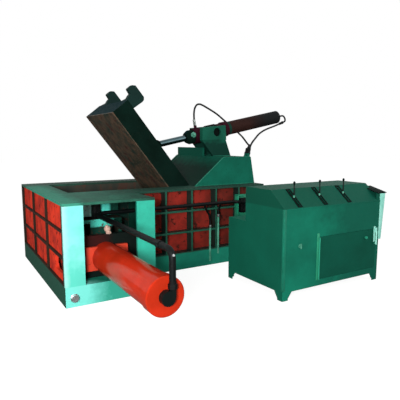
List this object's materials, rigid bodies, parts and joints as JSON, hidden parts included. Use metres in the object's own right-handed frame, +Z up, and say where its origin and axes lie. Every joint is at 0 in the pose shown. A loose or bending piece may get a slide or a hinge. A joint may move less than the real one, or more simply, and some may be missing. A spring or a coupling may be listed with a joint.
{
  "type": "recycling baler",
  "caption": "Hydraulic scrap-metal baler with an open hinged lid over its charging box, a side press, a main press, a lid cylinder on a stand and a power unit.",
  "frame": {"origin": "on the floor, on the underside of the base, where the axes of the side press and the main press cross", "axes": "+X along the main press towards its cylinder, +Y from the side press into the machine, +Z up"},
  "size_m": [4.1765, 3.4465, 2.2293],
  "materials": {
    "press_green": "semi-gloss machine enamel",
    "rib_green": "semi-gloss machine enamel in shade",
    "unit_green": "semi-gloss machine enamel on sheet steel",
    "panel_red": "semi-gloss red enamel",
    "cylinder_red": "glossy orange-red enamel",
    "cylinder_maroon": "dark red enamel",
    "lid_green": "dark green enamel",
    "wear_steel": "rusty worn steel plate",
    "rod_chrome": "polished hard chrome",
    "pin_steel": "machined steel",
    "pipe_black": "black painted pipe",
    "hose_rubber": "black hydraulic hose",
    "pump_grey": "grey painted casting"
  },
  "bodies": {
    "press_frame": {"base_frame": "press_green", "top_plate": "press_green", "end_wall": "panel_red", "near_wall": "panel_red", "rear_wall": "panel_red", "near_ribs": "rib_green", "end_ribs": "rib_green", "rear_ribs": "rib_green", "main_bulkhead": "press_green", "left_post": "press_green", "right_post": "press_green", "side_box_wall": "press_green", "side_crossbeam": "press_green", "side_header": "press_green", "side_manifold": "pipe_black", "floor_liner": "wear_steel", "end_liner": "wear_steel", "side_liners": "wear_steel", "side_cylinder_tube": "cylinder_red", "side_cylinder_gland": "cylinder_red", "side_flange": "cylinder_red", "main_cylinder_tube": "cylinder_red", "main_cylinder_gland": "cylinder_red", "main_flange": "cylinder_red", "hinge_lugs": "press_green", "hinge_pin": "pin_steel", "stand": "press_green", "near_pillar": "press_green", "far_pillar": "press_green", "unit_cabinet": "unit_green", "unit_feet": "unit_green", "oil_tank": "unit_green", "motor": "pump_grey", "pump": "pump_grey", "valve_bank": "pump_grey", "tail_pipe": "pipe_black", "wall_pipe": "pipe_black", "riser_pipes": "pipe_black", "front_hose": "hose_rubber", "rear_hose": "hose_rubber"},
    "lid": {"lid_box": "lid_green", "lid_liner": "wear_steel", "lid_arms": "lid_green", "lid_hooks": "lid_green", "lid_ears": "lid_green", "rod_pin_ends": "pin_steel"},
    "lid_cylinder": {"lid_cylinder_tube": "cylinder_maroon", "lid_cylinder_gland": "press_green", "lid_trunnion": "press_green"},
    "lid_rod": {"lid_rod": "rod_chrome", "rod_eye_pin": "pin_steel"},
    "side_ram": {"side_ram": "wear_steel", "side_cylinder_rod": "rod_chrome"},
    "main_ram": {"main_ram": "wear_steel", "main_cylinder_rod": "rod_chrome"},
    "lever_1": {"lever_1": "pin_steel"},
    "lever_2": {"lever_2": "pin_steel"},
    "lever_3": {"lever_3": "pin_steel"},
    "unit_door": {"unit_door": "unit_green"},
    "drive_coupling": {"drive_coupling": "pump_grey"}
  },
  "joints": [
    {"name": "lid_hinge", "type": "hinge", "parent": "press_frame", "child": "lid", "pos_m": [1.28, 0, 0.8], "axis": [0, 1, 0], "range_deg": [-51.7, 0]},
    {"name": "lid_cylinder_tilt", "type": "hinge", "parent": "press_frame", "child": "lid_cylinder", "pos_m": [2.022, 0, 1.7], "axis": [0, 1, 0], "range_deg": [-11.3, 0], "deforming": ["front_hose", "rear_hose"]},
    {"name": "lid_rod_slide", "type": "slide", "parent": "lid_cylinder", "child": "lid_rod", "axis": [-0.9799, 0, -0.1994], "range_m": [0, 0.598]},
    {"name": "side_ram_slide", "type": "slide", "parent": "press_frame", "child": "side_ram", "axis": [0, 1, 0], "range_m": [0, 0.56]},
    {"name": "main_ram_slide", "type": "slide", "parent": "press_frame", "child": "main_ram", "axis": [-1, 0, 0], "range_m": [0, 0.98]},
    {"name": "unit_door_hinge", "type": "hinge", "parent": "press_frame", "child": "unit_door", "pos_m": [1.885, -2.3183, 0.153], "axis": [0, 0, -1], "range_deg": [0, 110]},
    {"name": "drive_coupling_spin", "type": "hinge", "parent": "press_frame", "child": "drive_coupling", "pos_m": [2.122, -1.845, 0.291], "axis": [1, 0, 0], "continuous": true},
    {"name": "lever_1_tilt", "type": "hinge", "parent": "press_frame", "child": "lever_1", "pos_m": [1.618, -2.205, 0.931], "axis": [1, 0, 0], "range_deg": [-15, 15]},
    {"name": "lever_2_tilt", "type": "hinge", "parent": "press_frame", "child": "lever_2", "pos_m": [1.973, -2.205, 0.931], "axis": [1, 0, 0], "range_deg": [-15, 15]},
    {"name": "lever_3_tilt", "type": "hinge", "parent": "press_frame", "child": "lever_3", "pos_m": [2.328, -2.205, 0.931], "axis": [1, 0, 0], "range_deg": [-15, 15]}
  ],
  "couplings": [
    {"joint": "lid_cylinder_tilt", "follows": "lid_hinge", "ratio": 0.2171},
    {"joint": "lid_rod_slide", "follows": "lid_hinge", "m_per_rad": -0.6607}
  ]
}
